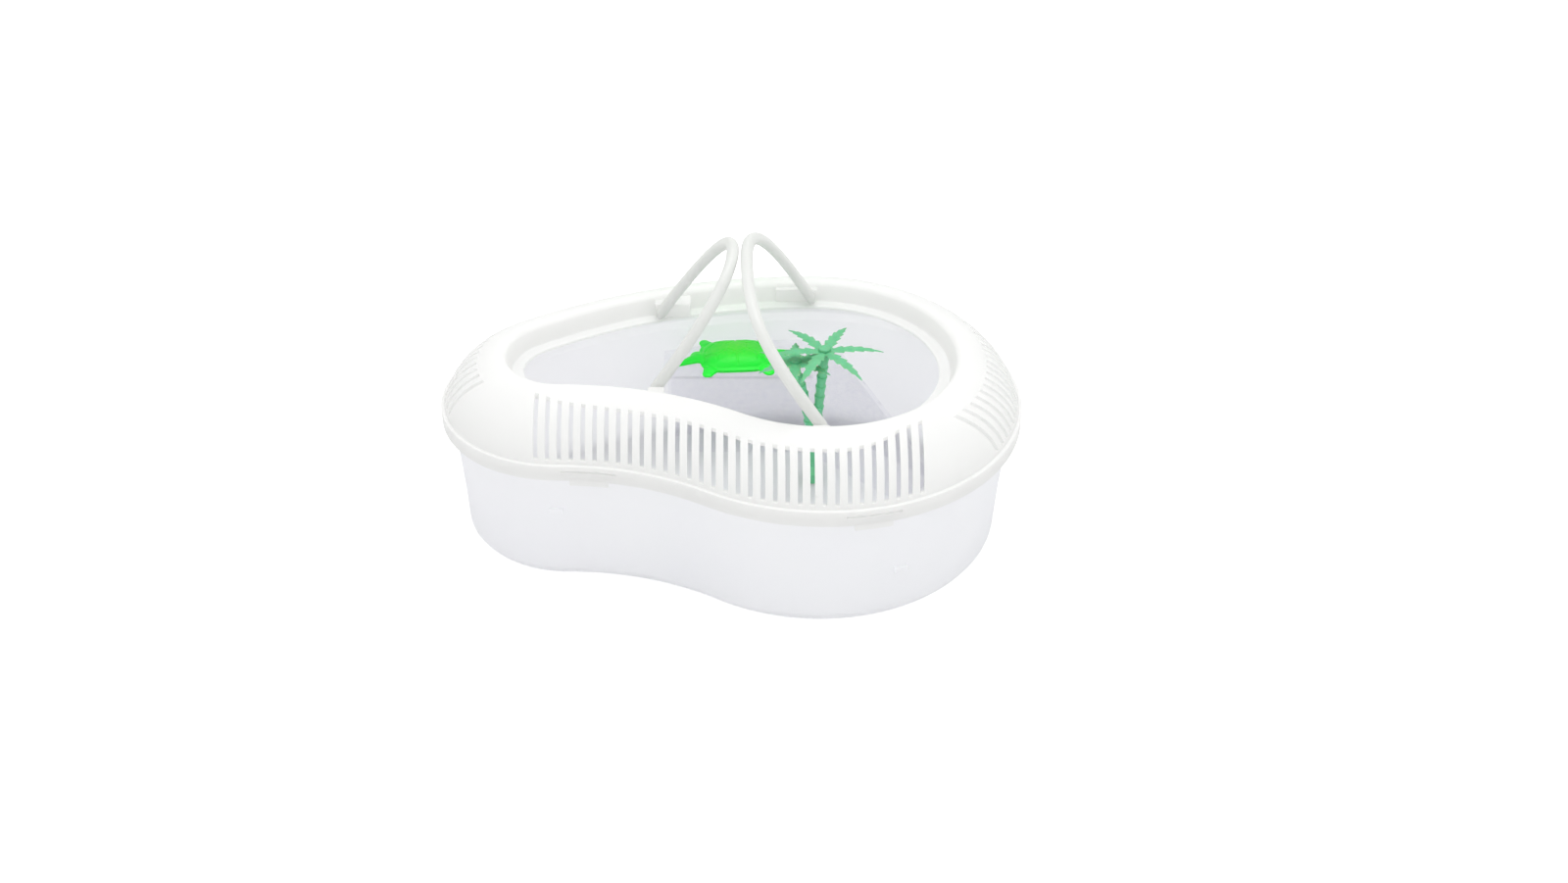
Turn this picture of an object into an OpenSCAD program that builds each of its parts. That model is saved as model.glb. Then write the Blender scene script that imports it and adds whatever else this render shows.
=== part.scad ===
// Kidney-shaped plastic pet keeper: a translucent tub, a vented lid with two folding bail
// handles, and inside it a basking platform, a palm and a small turtle figure.
// Millimetres. The origin is on the table, under the middle of the plan. The front is -Y.

/* [Plan outline] */
// Radius of the big lobe, at the lid's skirt
big_lobe_r = 116.5; // [114:0.5:120]
// Distance between the centres of the two lobes, along the length
lobe_spacing = 141.12; // [138:0.12:147]

/* [Tub] */
// Wall thickness of the tub
tub_wall = 2; // [1.6:0.1:2.4]
// Height of the tub's rim above the table
tub_h = 82.4; // [78:0.2:90]
// Rounding of the tub's bottom edge
tub_foot_r = 9; // [6:0.5:12]
// Radius of the bow in the tub's side
tub_bow_r = 300; // [240:5:400]
// Height of the step where the wall draws in to the rim
tub_neck_z = 73.4; // [68:0.2:74]

/* [Lid] */
// Thickness of the lid's plastic
lid_wall = 2; // [1.6:0.1:2.4]
// Depth of the skirt that hangs round the tub's rim
skirt_h = 9.4; // [8:0.2:12]
// Gap all round between the skirt and the rim
skirt_clear = 0.3; // [0.2:0.05:0.6]
// Gap under the lid's ledge, where it rests on the rim
seat_gap = 0.1; // [0.05:0.05:0.3]
// Height of the lid's ridge above the ledge
ridge_rise = 30.5; // [26:0.5:36]
// Distance of the ridge's middle inwards from the skirt
ridge_in = 36; // [34:0.5:38]
// Radius of the lid's shoulder in section
shoulder_r = 43; // [41:0.5:48]
// Rounding of the ridge in section
ridge_r = 4; // [3.5:0.1:4.5]
// Drop from the ridge to the inner lip
collar_drop = 13; // [11:0.5:14]
// Distance of the lip's inner edge inwards from the skirt
opening_in = 48; // [46:0.5:50]

/* [Vent slots] */
// Width of one slot
slot_w = 2.4; // [1.6:0.1:3]
// Distance from slot to slot
slot_pitch = 6.35; // [5.8:0.05:6.8]
// Slots in the front row, and in the back row
slots_long = 33; // [25:1:33]
// Slots at the big end
slots_big_end = 21; // [13:2:21]
// Slots at the small end
slots_small_end = 9; // [5:2:9]
// Height of the slots' lower ends above the ledge
slot_rise = 2; // [1.5:0.5:6]
// Distance of the slots' upper ends inwards from the skirt
slot_in = 22; // [18:0.5:25]

/* [Handles] */
// Width of a handle's bar, seen from the side of the arch
bar_w = 7; // [6:0.25:8]
// Thickness of a handle's bar
bar_t = 6; // [5:0.25:6.5]
// Rounding of the bar's edges
bar_round = 2; // [1:0.1:2.2]
// Diameter of the pins that a handle turns on
pin_d = 4; // [3:0.1:4.4]
// Gap all round a pin in its hole
pin_clear = 0.07; // [0.03:0.01:0.09]
// Height of the pins above the inner lip
pin_rise = 5; // [4.5:0.1:6]
// Gap between the two handles where their tops lean together
crest_gap = 0.3; // [0.2:0.05:1]
// Height of the left handle's arch
left_arch_h = 75; // [70:0.5:80]
// Height of the right handle's arch
right_arch_h = 72; // [68:0.5:76]

/* [Basking platform] */
// Height of the platform's top above the table
platform_h = 60; // [50:1:64]
// Thickness of the platform's plastic
platform_wall = 1.8; // [1.4:0.1:2.4]
// Width of the ramp
ramp_w = 34; // [28:1:40]

/* [Palm] */
// Height of the tall crown above the table
tall_crown_z = 95; // [85:1:97]
// Height of the short crown above the table
short_crown_z = 88; // [78:1:90]
// Length of a frond of the tall crown
tall_frond = 35; // [30:1:37]
// Length of a frond of the short crown
short_frond = 24; // [22:1:26]
// Diameter of the palm's base plug
plug_d = 12; // [10:0.5:14]

/* [Turtle] */
// Length of the turtle's shell
shell_l = 46; // [40:1:50]
// Width of the turtle's shell
shell_w = 34; // [30:1:38]
// Height of the turtle's shell
shell_h = 11; // [8:0.5:14]

/* [Hidden] */
$fn = 72;
fine_fn = 180;
far = 900;
eps = 0.01;

// The plan is four arcs that run into each other. Both directions below have a length of
// exactly one, and the arcs meet on lines that lie along them.
waist_turn = [0.5376, 0.8432];
back_turn = [-0.6, 0.8];
link = lobe_spacing / waist_turn.x;
back_link = -link * waist_turn.x / back_turn.x;
small_lobe_r = big_lobe_r - (back_link * (1 - back_turn.y) + link * (1 - waist_turn.y)) / 2;
back_r = small_lobe_r + back_link;
waist_r = link - big_lobe_r;
big_c = [(lobe_spacing + small_lobe_r - big_lobe_r) / 2, 0];
waist_c = big_c - link * waist_turn;
back_c = big_c - [0, back_r - big_lobe_r];
small_c = waist_c + [0, waist_r + small_lobe_r];

function snap(pts) = [for (p = pts) [round(p.x * 1000) / 1000, round(p.y * 1000) / 1000]];
function arc(c, r, from, to, n) =
    [for (i = [0:n]) let (a = from + (to - from) * i / n) c + r * [cos(a), sin(a)]];
function len2(v) = sqrt(v.x * v.x + v.y * v.y);
function angle2(v) = atan2(v.y, v.x);

// One arc of the plan: a profile turned about its centre and cut to the arc's wedge.
module turned(centre, r, wedge, inside = false) {
    translate(centre) intersection() {
        rotate_extrude($fn = fine_fn)
            translate([r, 0]) mirror([inside ? 1 : 0, 0]) children();
        translate([0, 0, -far / 2]) linear_extrude(far) polygon(wedge);
    }
}
big_wedge = [[0, 0], -far * waist_turn, [far, -far], [far, far], [0, far]];
back_wedge = [[0, 0], [0, far], far * back_turn];
small_wedge = [[0, 0], far * back_turn, [-far, far], [-far, -far], [0, -far]];
waist_wedge = [[0, 0], far * waist_turn, [0, far]];

// A profile carried round the whole plan. Its x is the distance outwards from the skirt.
module round_plan() {
    turned(big_c, big_lobe_r, big_wedge) children();
    turned(back_c, back_r, back_wedge) children();
    turned(small_c, small_lobe_r, small_wedge) children();
    turned(waist_c, waist_r, waist_wedge, inside = true) children();
}

// The filled plan, drawn in or out from the skirt by d, as a plate from z to z + h.
module plate(d, z, h) {
    translate([0, 0, z]) {
        translate(big_c) intersection() {
            cylinder(r = big_lobe_r + d, h = h, $fn = fine_fn);
            linear_extrude(h) polygon(big_wedge);
        }
        translate(small_c) intersection() {
            cylinder(r = small_lobe_r + d, h = h, $fn = fine_fn);
            linear_extrude(h) polygon(small_wedge);
        }
        difference() {
            intersection() {
                translate(back_c) cylinder(r = back_r + d, h = h, $fn = 2 * fine_fn);
                linear_extrude(h) polygon([big_c, big_c + [0, far], small_c + far * back_turn,
                                           small_c, waist_c]);
            }
            translate([waist_c.x, waist_c.y, -h]) cylinder(r = waist_r - d, h = 3 * h, $fn = fine_fn);
        }
    }
}

// Where the plan, drawn in by d, lies at the front and the back at x, and at the ends at y.
function front_y(x, d) =
    x < small_c.x ? small_c.y - sqrt(pow(small_lobe_r - d, 2) - pow(x - small_c.x, 2)) :
    x < big_c.x - (big_lobe_r - d) * waist_turn.x ?
        waist_c.y + sqrt(pow(waist_r + d, 2) - pow(x - waist_c.x, 2)) :
    -sqrt(pow(big_lobe_r - d, 2) - pow(x - big_c.x, 2));
function back_y(x, d) =
    x > big_c.x ? sqrt(pow(big_lobe_r - d, 2) - pow(x - big_c.x, 2)) :
    x > small_c.x + (small_lobe_r - d) * back_turn.x ?
        back_c.y + sqrt(pow(back_r - d, 2) - pow(x - back_c.x, 2)) :
    small_c.y + sqrt(pow(small_lobe_r - d, 2) - pow(x - small_c.x, 2));
function big_end_x(y, d) = big_c.x + sqrt(pow(big_lobe_r - d, 2) - y * y);
function small_end_x(y, d) = small_c.x - sqrt(pow(small_lobe_r - d, 2) - pow(y - small_c.y, 2));

// Tub: the side bows out a little and runs down into a rounded foot.
neck_out = -lid_wall - skirt_clear;
tub_mouth_z = 95;
bow_c = [-0.76 - tub_bow_r, tub_mouth_z];
foot_c = [bow_c.x + sqrt(pow(tub_bow_r - tub_foot_r, 2) - pow(bow_c.y - tub_foot_r, 2)),
          tub_foot_r];
foot_a = angle2(foot_c - bow_c);
neck_a = asin((tub_neck_z - bow_c.y) / tub_bow_r);
foot_flange = 8;
function tub_out(z) = bow_c.x + sqrt(pow(tub_bow_r, 2) - pow(z - bow_c.y, 2));
tub_profile = snap(concat(
    [[foot_c.x - foot_flange, 0]],
    arc(foot_c, tub_foot_r, -90, foot_a, 6),
    arc(bow_c, tub_bow_r, foot_a, neck_a, 5),
    [[neck_out, tub_neck_z + 0.8], [neck_out, tub_h], [neck_out - tub_wall, tub_h],
     [neck_out - tub_wall, tub_neck_z]],
    arc(bow_c, tub_bow_r - tub_wall, neck_a, foot_a, 5),
    arc(foot_c, tub_foot_r - tub_wall, foot_a, -90, 6),
    [[foot_c.x - foot_flange, tub_wall]]));

// Small lugs on the front of the tub: where each stands and how high
lug = [7.5, 1.5, 3.5];
lug_left = [-93, 48];
lug_right = [-67, 33];
module wall_lug(centre, r, place) {
    translate(centre) rotate([0, 0, place[0]])
        translate([r + tub_out(place[1]) - 1, -lug.x / 2, place[1]])
            cube([1 + lug.y, lug.x, lug.z]);
}

// Socket on the tub's floor for the palm's plug
palm_at = [50, 30];
socket_wall = 3;
socket_h = 6;
plug_clear = 0.25;
module tub() {
    color([0.86, 0.87, 0.92, 0.6]) {
        round_plan() polygon(tub_profile);
        plate(foot_c.x - foot_flange / 2, 0, tub_wall);
        wall_lug(small_c, small_lobe_r, lug_left);
        wall_lug(big_c, big_lobe_r, lug_right);
        translate([palm_at.x, palm_at.y, tub_wall - eps]) difference() {
            cylinder(d = plug_d + 2 * plug_clear + 2 * socket_wall, h = socket_h);
            translate([0, 0, eps]) cylinder(d = plug_d + 2 * plug_clear, h = socket_h);
        }
    }
}

// Lid: a ledge on the rim, the skirt below it, and above it the shoulder, ridge, collar and lip.
ledge_z = tub_h + seat_gap;
ledge_top = ledge_z + lid_wall;
shoulder_foot = [-lid_wall, ledge_top];
ridge_c = [-ridge_in, ledge_top + ridge_rise - ridge_r];
shoulder_span = ridge_c - shoulder_foot;
shoulder_arm = shoulder_r - ridge_r;
shoulder_turn = acos((pow(len2(shoulder_span), 2) + pow(shoulder_arm, 2) - pow(shoulder_r, 2))
                     / (2 * shoulder_arm * len2(shoulder_span)));
ridge_a = angle2(shoulder_span) - shoulder_turn;
shoulder_c = ridge_c - shoulder_arm * [cos(ridge_a), sin(ridge_a)];
shoulder_a = angle2(shoulder_foot - shoulder_c);
lip_z = ledge_top + ridge_rise - collar_drop;
collar_foot = [-opening_in + 6.5, lip_z];
collar_a = 172;
ledge_in = shoulder_foot.x - lid_wall * cos(shoulder_a) - 0.3;
lid_profile = snap(concat(
    [[0, ledge_top - skirt_h], [0, ledge_top]],
    arc(shoulder_c, shoulder_r, shoulder_a, ridge_a, 8),
    arc(ridge_c, ridge_r, ridge_a, collar_a, 5),
    [collar_foot, [-opening_in, lip_z], [-opening_in, lip_z - lid_wall],
     [collar_foot.x + lid_wall, lip_z - lid_wall]],
    arc(ridge_c, ridge_r - lid_wall, collar_a, ridge_a, 5),
    arc(shoulder_c, shoulder_r - lid_wall, ridge_a, shoulder_a, 8),
    [[ledge_in, ledge_z], [-lid_wall, ledge_z], [-lid_wall, ledge_top - skirt_h]]));

// Vent slots: upright cuts, in rows along the length and across both ends
slot_z = ledge_top + slot_rise;
front_mid_x = -3;
small_mid_y = -3;
module slots() {
    for (i = [0:slots_long - 1]) {
        x = front_mid_x + (i - (slots_long - 1) / 2) * slot_pitch;
        translate([x - slot_w / 2, -far / 2, slot_z])
            cube([slot_w, far / 2 + front_y(x, slot_in), far]);
        translate([x - slot_w / 2, back_y(x, slot_in), slot_z]) cube([slot_w, far / 2, far]);
    }
    for (i = [0:slots_big_end - 1]) {
        y = (i - (slots_big_end - 1) / 2) * slot_pitch;
        translate([big_end_x(y, slot_in), y - slot_w / 2, slot_z]) cube([far, slot_w, far]);
    }
    for (i = [0:slots_small_end - 1]) {
        y = small_mid_y + (i - (slots_small_end - 1) / 2) * slot_pitch;
        translate([small_end_x(y, slot_in) - far, y - slot_w / 2, slot_z])
            cube([far, slot_w, far]);
    }
}

// Clips on the front of the skirt: a tab below its edge, and a slit above that lets it spring
clip_w = 21;
clip_drop = 3;
clip_t = 1.1;
clip_slit = [30, 1.2];
clip_slit_up = 5.2;
clip_small_a = 83.6;
clip_big_a = -77.5;

// Handles: each is an arch of two side arcs and a crown arc, flat in its own plane. Its legs
// end in round feet with a pin each, and it leans over until it meets the other handle.
pin_z = lip_z + pin_rise;
pin_l = 2.9;
hole_l = 3.2;
foot_gap = 0.3;
handle_left_at = [-41.5, 9.5];
handle_right_at = [47.5, 0];
crest_x = 4.5;
left_half = 42;
left_turn = [0.8, 0.6];
left_straight = 0;
right_half = 70;
right_turn = [0.6, 0.8];
right_straight = 18;
join_skin = 0.6;

// A side arc runs into the crown arc on the line along turn, which fixes both radii.
function side_r(half, rise, turn) =
    let (k = (1 - turn.y) / turn.x) (rise - half * k) / (1 - k);
function crown_r(half, rise, turn) =
    side_r(half, rise, turn) - (side_r(half, rise, turn) - half) / turn.x;
function lean(x, h) =
    let (a = h + bar_w / 2 - bar_round, b = bar_t / 2 - bar_round,
         c = abs(crest_x - x) - bar_round - crest_gap / 2)
    asin(c / len2([a, b])) - atan2(b, a);

// Section of the bar, with rounded edges
module bar_section() {
    edge = [bar_w / 2 - bar_round, bar_t / 2 - bar_round];
    polygon(snap(concat(
        arc(edge, bar_round, 0, 90, 4), arc([-edge.x, edge.y], bar_round, 90, 180, 4),
        arc(-edge, bar_round, 180, 270, 4), arc([edge.x, -edge.y], bar_round, 270, 360, 4))));
}
module bar_arc(centre, r, from, to) {
    translate(centre) intersection() {
        rotate_extrude($fn = fine_fn) translate([r, 0]) bar_section();
        translate([0, 0, -bar_t]) linear_extrude(2 * bar_t)
            polygon([[0, 0], far * from, far * to]);
    }
}
// A ball inside the bar bridges each place where two stretches meet end to end.
module bar_join(at) {
    translate(at) sphere(d = bar_t - 2 * join_skin);
}
module handle(half, h, turn, straight) {
    top_r = crown_r(half, h - straight, turn);
    leg_r = side_r(half, h - straight, turn);
    rotate([90, 0, 90]) {
        bar_arc([0, h - top_r], top_r, turn, [-turn.x, turn.y]);
        for (side = [0, 1]) mirror([side, 0, 0]) {
            bar_arc([half - leg_r, straight], leg_r, [1, 0], turn);
            bar_join([top_r * turn.x, h - top_r + top_r * turn.y]);
            bar_join([half, straight]);
            if (straight > 0) translate([half, straight, 0]) rotate([90, 0, 0])
                linear_extrude(straight) bar_section();
            translate([half - bar_w / 2, 0, 0]) rotate([0, 90, 0])
                cylinder(d = bar_t, h = bar_w);
            translate([half, 0, 0]) rotate([0, 90, 0])
                cylinder(d = pin_d, h = bar_w / 2 + pin_l);
        }
    }
}
module handle_left() {
    color([0.97, 0.97, 0.97, 0.9])
        translate([handle_left_at.x, handle_left_at.y, pin_z])
            rotate([0, lean(handle_left_at.x, left_arch_h), 0])
                handle(left_half, left_arch_h, left_turn, left_straight);
}
module handle_right() {
    color([0.97, 0.97, 0.97, 0.9])
        translate([handle_right_at.x, handle_right_at.y, pin_z])
            rotate([0, -lean(handle_right_at.x, right_arch_h), 0])
                handle(right_half, right_arch_h, right_turn, right_straight);
}

// Hinge bosses: blocks that rise from the lip against the collar, one for each foot. The list
// holds the foot's outer side, which way it faces, and how far the block reaches along X.
boss_top = 3.4;
boss_back = 12;
feet = [[handle_left_at, left_half, 1, [-4, 17]], [handle_left_at, left_half, -1, [-4, 5]],
        [handle_right_at, right_half, 1, [-21, 4]], [handle_right_at, right_half, -1, [-5, 4]]];
function foot_side(f) = [f[0].x, f[0].y + f[2] * (f[1] + bar_w / 2 + foot_gap)];
module bosses() {
    intersection() {
        for (f = feet) translate([foot_side(f).x + f[3][0],
                                  foot_side(f).y - (f[2] > 0 ? 0 : boss_back), lip_z - eps])
            cube([f[3][1] - f[3][0], boss_back, pin_rise + boss_top]);
        plate(-ridge_in - 3, 0, 2 * ledge_top);
    }
}
module pin_holes() {
    for (f = feet) translate([foot_side(f).x, foot_side(f).y + f[2] * hole_l, pin_z])
        rotate([f[2] * 90, 0, 0]) cylinder(d = pin_d + 2 * pin_clear, h = 2 * hole_l);
}

// A clip is cut out of the skirt by a slit above it, and its tab reaches below the edge.
module on_arc(centre, r, a, w, inside) {
    half_a = w / r * 90 / PI;
    turned(centre, r, [[0, 0], far * [cos(a - half_a), sin(a - half_a)],
                       far * [cos(a + half_a), sin(a + half_a)]], inside) children();
}
module clip_tab(centre, r, a, inside = false) {
    on_arc(centre, r, a, clip_w, inside)
        translate([-clip_t, ledge_top - skirt_h - clip_drop]) square([clip_t, clip_drop + 1]);
}
module clip_cut(centre, r, a, inside = false) {
    on_arc(centre, r, a, clip_slit.x, inside)
        translate([-lid_wall - 0.2, ledge_top - skirt_h + clip_slit_up])
            square([lid_wall + 1, clip_slit.y]);
}
module lid() {
    color([0.96, 0.96, 0.96, 0.85]) difference() {
        union() {
            round_plan() polygon(lid_profile);
            clip_tab(waist_c, waist_r, clip_small_a, inside = true);
            clip_tab(big_c, big_lobe_r, clip_big_a);
            bosses();
        }
        slots();
        clip_cut(waist_c, waist_r, clip_small_a, inside = true);
        clip_cut(big_c, big_lobe_r, clip_big_a);
        pin_holes();
    }
}

// Basking platform: a clear shell, open below, with a flat top against the back of the tub
// and a ramp down to the floor.
deck_in = 15;
body_in = 25;
deck_front_y = 56;
deck_left_x = -42;
deck_right_x = 50;
deck_lip = 3;
ramp_a = -45;
ramp_slope = 33;
ramp_from = [45, 61];
ramp_back = 12;
ramp_low = 6;
ramp_ribs = 6;
rib = [2.4, 1.2];
floor_gap = 0.3;
platform_z = tub_wall + floor_gap;
ramp_l = (platform_h - ramp_low - platform_z) / tan(ramp_slope);
module deck_outline(inset, trim) {
    intersection() {
        plate(-inset, 0, platform_h);
        translate([deck_left_x + trim, deck_front_y + trim, 0])
            cube([deck_right_x - deck_left_x - 2 * trim, far, platform_h]);
    }
}
module above(z, top = far) {
    intersection() {
        children();
        translate([-far / 2, -far / 2, z]) cube([far, far, top - z]);
    }
}
module ramp_block(trim) {
    translate([ramp_from.x, ramp_from.y, platform_z - trim]) rotate([0, 0, ramp_a])
        translate([-ramp_back, trim, 0]) rotate([90, 0, 0]) mirror([0, 0, 1])
            linear_extrude(ramp_w - 2 * trim)
                polygon([[trim, 0], [ramp_back + ramp_l - trim, 0],
                         [ramp_back + ramp_l - trim, ramp_low],
                         [ramp_back, platform_h - platform_z], [trim, platform_h - platform_z]]);
}
module ramp_rib(i) {
    run = (i + 0.5) / ramp_ribs;
    translate([ramp_from.x, ramp_from.y, platform_h - rib.y / 2]) rotate([0, 0, ramp_a])
        translate([run * ramp_l, platform_wall, -run * (platform_h - ramp_low - platform_z)])
            rotate([0, ramp_slope, 0]) cube([rib.x, ramp_w - 2 * platform_wall, 1.5 * rib.y]);
}
module basking_platform() {
    color([0.9, 0.92, 0.95, 0.5]) difference() {
        union() {
            above(platform_h - platform_wall) deck_outline(deck_in, 0);
            above(platform_z) deck_outline(body_in, deck_lip);
            ramp_block(0);
            for (i = [0:ramp_ribs - 1]) ramp_rib(i);
        }
        above(0, platform_h - platform_wall)
            deck_outline(body_in + platform_wall, deck_lip + platform_wall);
        ramp_block(platform_wall);
    }
}

// Palm: two trunks of flared rings rise from one plug and carry a crown each.
palm_foot_z = tub_wall + 0.1;
trunk_from = [palm_at.x, palm_at.y, palm_foot_z + 7];
tall_crown_at = [54, 24, tall_crown_z];
short_crown_at = [37, 23, short_crown_z];
tall_bend = [52, 31, 55];
short_bend = [48, 27, 55];
trunk_rings = 11;
trunk_r = 2.5;
trunk_flare = 0.7;
crown_pin = [2.6, 3];
collar_r = 3.4;
collar_h = 2;
function bend(a, b, c, t) = (1 - t) * (1 - t) * a + 2 * t * (1 - t) * b + t * t * c;
module trunk(from, via, to) {
    top = to - [0, 0, collar_h];
    for (i = [0:trunk_rings - 1]) {
        p = bend(from, via, top, i / trunk_rings);
        v = bend(from, via, top, (i + 1) / trunk_rings) - p;
        translate(p) rotate([0, acos(v.z / norm(v)), angle2(v)])
            translate([0, 0, -0.4])
                cylinder(r1 = trunk_r, r2 = trunk_r + trunk_flare, h = norm(v) + 0.4);
    }
    translate(top - [0, 0, 1]) cylinder(r = collar_r, h = collar_h + 1);
    translate(to - [0, 0, 1]) cylinder(d = crown_pin.x, h = crown_pin.y + 1);
}
module palm_trunk() {
    color([0.25, 0.55, 0.35]) {
        translate([palm_at.x, palm_at.y, palm_foot_z]) {
            cylinder(d = plug_d, h = 7);
            translate([0, 0, 6.5]) cylinder(d1 = plug_d - 1, d2 = 6, h = 5);
        }
        trunk(trunk_from, tall_bend, tall_crown_at);
        trunk(trunk_from, short_bend, short_crown_at);
    }
}

// A frond is a toothed blade that arches up from the crown's hub and down to its point.
frond_arch_r = 70;
frond_t = 1;
frond_half_w = 3.4;
frond_teeth = 5;
frond_root = [2, 0.8];
hub_r = 3.6;
hub_h = 4.4;
function blade_w(s) = frond_half_w * (0.55 + 1.8 * s - 2.3 * s * s);
module frond(l) {
    side = [for (i = [1:frond_teeth]) let (s = i / (frond_teeth + 1))
        each [[l * (s - 0.08), 0.6 * blade_w(s)], [l * (s + 0.04), blade_w(s)]]];
    outline = concat([[frond_root.x, frond_root.y]], side, [[l, 0]],
        [for (i = [len(side) - 1:-1:0]) [side[i].x, -side[i].y]],
        [[frond_root.x, -frond_root.y]]);
    intersection() {
        translate([0, 0, -10]) linear_extrude(20) polygon(snap(outline));
        translate([0.4 * l, 0, -frond_arch_r]) rotate([90, 0, 0]) difference() {
            cylinder(r = frond_arch_r + frond_t, h = 20, center = true, $fn = fine_fn);
            cylinder(r = frond_arch_r, h = 21, center = true, $fn = fine_fn);
        }
    }
}
module crown(at, l, fronds, first) {
    translate(at) difference() {
        union() {
            cylinder(r1 = collar_r - 0.4, r2 = hub_r, h = hub_h);
            for (i = [0:fronds - 1])
                rotate([0, 0, first + i * 360 / fronds]) translate([0, 0, 2.4]) frond(l);
        }
        translate([0, 0, -eps]) cylinder(d = crown_pin.x + 0.3, h = crown_pin.y + 0.3);
    }
}
module palm_crown_tall() {
    color([0.38, 0.75, 0.5]) crown(tall_crown_at, tall_frond, 6, 5);
}
module palm_crown_short() {
    color([0.38, 0.75, 0.5]) crown(short_crown_at, short_frond, 6, 27);
}

// Turtle: a domed shell with four flat legs, a head and a pointed tail
turtle_at = [2, 76];
turtle_turn = 12;
leg_t = 4;
module limb(at, to, r1, r2) {
    hull() {
        translate(at) cylinder(r = r1, h = leg_t, $fn = 24);
        translate(to) cylinder(r = r2, h = leg_t * 0.7, $fn = 24);
    }
}
module turtle() {
    color([0, 0.9, 0.2]) translate([turtle_at.x, turtle_at.y, platform_h])
        rotate([0, 0, turtle_turn]) {
            intersection() {
                scale([shell_l / 2, shell_w / 2, shell_h]) sphere(1, $fn = 40);
                translate([-far / 2, -far / 2, 0]) cube([far, far, far]);
            }
            for (end = [-1, 1], side = [-1, 1])
                limb([end * shell_l * 0.32, side * shell_w * 0.3, 0],
                     [end * shell_l * 0.48, side * shell_w * 0.56, 0], 5, 2.5);
            limb([-shell_l * 0.4, 0, 0], [-shell_l * 0.72, -3, 0], 6, 3.4);
            limb([shell_l * 0.4, 0, 0], [shell_l * 0.68, 0, 0], 4, 1.2);
        }
}

tub();
lid();
handle_left();
handle_right();
basking_platform();
palm_trunk();
palm_crown_tall();
palm_crown_short();
turtle();
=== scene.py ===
"""A kidney-shaped plastic pet keeper: translucent tub, vented lid with two folding handles,
and inside it a basking platform, a palm and a turtle figure."""
import math

import bmesh
import bpy
from mathutils import Matrix, Vector


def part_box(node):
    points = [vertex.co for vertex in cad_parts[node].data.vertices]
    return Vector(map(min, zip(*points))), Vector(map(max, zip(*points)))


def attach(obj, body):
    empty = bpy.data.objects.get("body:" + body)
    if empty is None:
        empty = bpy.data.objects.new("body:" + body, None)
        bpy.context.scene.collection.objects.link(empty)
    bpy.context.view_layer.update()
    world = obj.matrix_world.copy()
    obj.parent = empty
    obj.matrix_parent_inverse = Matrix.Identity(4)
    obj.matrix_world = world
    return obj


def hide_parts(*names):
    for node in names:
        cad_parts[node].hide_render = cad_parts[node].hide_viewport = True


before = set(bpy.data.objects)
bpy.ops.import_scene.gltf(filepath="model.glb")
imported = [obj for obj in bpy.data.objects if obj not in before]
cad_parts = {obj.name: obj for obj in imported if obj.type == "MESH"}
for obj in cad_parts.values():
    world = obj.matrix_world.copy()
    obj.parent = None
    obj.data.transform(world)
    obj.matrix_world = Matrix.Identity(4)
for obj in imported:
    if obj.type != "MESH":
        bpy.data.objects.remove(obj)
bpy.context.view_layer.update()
# Sizes are in millimetres, angles in degrees unless made radians. A row of sizes reads
# length, width, height, or radius, height, unless its comment says otherwise.
MM = 0.001

# Camera: a little above the table, in front of the keeper, as a catalogue picture has it.
PHOTO_WIDTH = 1600
CAMERA_RISE = math.radians(34.2)
CAMERA_REACH = 905 * MM
FOCAL_PX = 1574.7
SENSOR_MM = 36
LOOK_AT = Vector((0, 0, 45 * MM))
LOOK_AT_PX = (746.4, 457.6)
PHOTO_MIDDLE_PX = (800, 450.5)

camera = bpy.data.objects.new("camera", bpy.data.cameras.new("camera"))
bpy.context.scene.collection.objects.link(camera)
camera.data.sensor_width = SENSOR_MM
camera.data.lens = SENSOR_MM * FOCAL_PX / PHOTO_WIDTH
camera.data.shift_x = (PHOTO_MIDDLE_PX[0] - LOOK_AT_PX[0]) / PHOTO_WIDTH
camera.data.shift_y = (LOOK_AT_PX[1] - PHOTO_MIDDLE_PX[1]) / PHOTO_WIDTH
camera.data.clip_start = 0.01
away = Vector((0, -math.cos(CAMERA_RISE), math.sin(CAMERA_RISE)))
camera.location = LOOK_AT + CAMERA_REACH * away
camera.rotation_euler = away.to_track_quat("Z", "Y").to_euler()
bpy.context.scene.camera = camera

# Light: a white sweep of paper under large soft lamps, so shadows are faint and wide. The
# room's glow lights the keeper, and the camera sees plain white paper behind it.


def hex_colour(text):
    """An sRGB colour such as #a0b0c0 as Blender's linear colour."""
    parts = [int(text[i:i + 2], 16) / 255 for i in (1, 3, 5)]
    linear = [c / 12.92 if c <= 0.04045 else ((c + 0.055) / 1.055) ** 2.4 for c in parts]
    return (*linear, 1.0)


def add_node(tree, kind, links=(), **settings):
    """A new node. Settings name its sockets or properties, and links its inputs' sources."""
    node = tree.nodes.new(kind)
    for name, value in settings.items():
        key = name.replace("_", " ")
        sockets = {s.name.lower(): s for s in reversed(node.inputs) if s.enabled}
        if key.lower() in sockets:
            sockets[key.lower()].default_value = value
        else:
            setattr(node, name, value)
    for name, source in dict(links).items():
        tree.links.new(source, node.inputs[name])
    return node


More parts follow.
